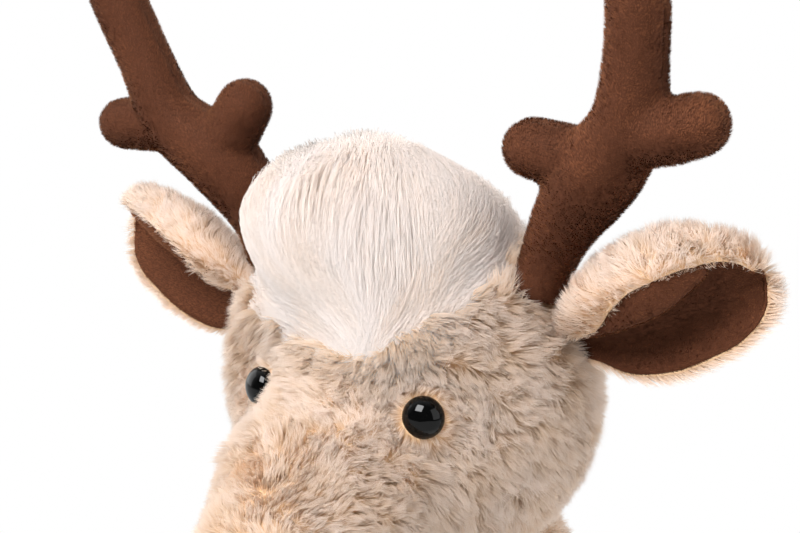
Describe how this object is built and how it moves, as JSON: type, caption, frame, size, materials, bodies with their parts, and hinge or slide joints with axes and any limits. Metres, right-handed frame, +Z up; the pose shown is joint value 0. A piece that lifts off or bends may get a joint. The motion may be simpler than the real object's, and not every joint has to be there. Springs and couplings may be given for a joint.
{
  "type": "plush deer",
  "caption": "Sitting stuffed deer with long-pile cream fabric, a white forelock, brown velboa antlers and ear linings, glossy eyes and jointed limbs.",
  "frame": {"origin": "middle of the flat seat that the deer sits on", "axes": "+Z up, -Y the way the deer faces, +X its left side"},
  "size_m": [0.29, 0.241, 0.373],
  "materials": {
    "cream_long_pile": "long-pile plush, 9 mm, clumped",
    "white_long_pile": "extra long silky pile, 30 to 40 mm",
    "brown_velboa": "short-nap velboa, 1.5 mm",
    "polyester_fill": "loose fibre fill",
    "black_eye_plastic": "polished",
    "washer_plastic": "moulded",
    "pellet_bag_cloth": "woven bag filled with pellets"
  },
  "bodies": {
    "torso": {"body_cover": "cream_long_pile", "body_stuffing": "polyester_fill", "seat_pellet_bag": "pellet_bag_cloth", "seat_panel": "cream_long_pile"},
    "head": {"head_cover": "cream_long_pile", "head_stuffing": "polyester_fill", "forelock": "white_long_pile", "nose": "brown_velboa", "left_eye": "black_eye_plastic", "right_eye": "black_eye_plastic", "left_eye_washer": "washer_plastic", "right_eye_washer": "washer_plastic"},
    "left_antler": {"left_antler_cover": "brown_velboa", "left_antler_stuffing": "polyester_fill"},
    "left_ear": {"left_ear_back": "cream_long_pile", "left_ear_lining": "brown_velboa"},
    "left_front_leg": {"left_front_leg_cover": "cream_long_pile", "left_front_leg_hoof": "brown_velboa", "left_front_leg_stuffing": "polyester_fill"},
    "left_hind_leg": {"left_hind_leg_cover": "cream_long_pile", "left_hind_leg_hoof": "brown_velboa", "left_hind_leg_stuffing": "polyester_fill"},
    "right_antler": {"right_antler_cover": "brown_velboa", "right_antler_stuffing": "polyester_fill"},
    "right_ear": {"right_ear_back": "cream_long_pile", "right_ear_lining": "brown_velboa"},
    "right_front_leg": {"right_front_leg_cover": "cream_long_pile", "right_front_leg_hoof": "brown_velboa", "right_front_leg_stuffing": "polyester_fill"},
    "right_hind_leg": {"right_hind_leg_cover": "cream_long_pile", "right_hind_leg_hoof": "brown_velboa", "right_hind_leg_stuffing": "polyester_fill"},
    "tail": {"tail": "cream_long_pile"}
  },
  "joints": [
    {"name": "neck_nod", "type": "hinge", "parent": "torso", "child": "head", "pos_m": [0, -0.021, 0.15], "axis": [1, 0, 0], "range_deg": [-12, 15], "stiffness_Nm_per_rad": 1.5},
    {"name": "left_antler_tip", "type": "hinge", "parent": "head", "child": "left_antler", "pos_m": [0.059, -0.043, 0.239], "axis": [1, 0, 0], "range_deg": [-8, 8], "stiffness_Nm_per_rad": 0.5},
    {"name": "left_ear_droop", "type": "hinge", "parent": "head", "child": "left_ear", "pos_m": [0.07, -0.035, 0.218], "axis": [0, 1, 0], "range_deg": [-5, 20], "stiffness_Nm_per_rad": 0.2},
    {"name": "left_front_leg_lift", "type": "hinge", "parent": "torso", "child": "left_front_leg", "pos_m": [0.049, -0.006, 0.112], "axis": [-1, 0, 0], "range_deg": [0, 40], "stiffness_Nm_per_rad": 0.3},
    {"name": "left_hind_leg_splay", "type": "hinge", "parent": "torso", "child": "left_hind_leg", "pos_m": [0.048, -0.03, 0.0285], "axis": [0, 0, 1], "range_deg": [0, 30], "stiffness_Nm_per_rad": 0.5},
    {"name": "right_antler_tip", "type": "hinge", "parent": "head", "child": "right_antler", "pos_m": [-0.059, -0.043, 0.239], "axis": [1, 0, 0], "range_deg": [-8, 8], "stiffness_Nm_per_rad": 0.5},
    {"name": "right_ear_droop", "type": "hinge", "parent": "head", "child": "right_ear", "pos_m": [-0.07, -0.035, 0.218], "axis": [0, -1, 0], "range_deg": [-5, 20], "stiffness_Nm_per_rad": 0.2},
    {"name": "right_front_leg_lift", "type": "hinge", "parent": "torso", "child": "right_front_leg", "pos_m": [-0.049, -0.006, 0.112], "axis": [-1, 0, 0], "range_deg": [0, 40], "stiffness_Nm_per_rad": 0.3},
    {"name": "right_hind_leg_splay", "type": "hinge", "parent": "torso", "child": "right_hind_leg", "pos_m": [-0.048, -0.03, 0.0285], "axis": [0, 0, -1], "range_deg": [0, 30], "stiffness_Nm_per_rad": 0.5},
    {"name": "tail_wag", "type": "hinge", "parent": "torso", "child": "tail", "pos_m": [0, 0.059, 0.044], "axis": [1, 0, 0], "range_deg": [-15, 5], "stiffness_Nm_per_rad": 0.1}
  ]
}
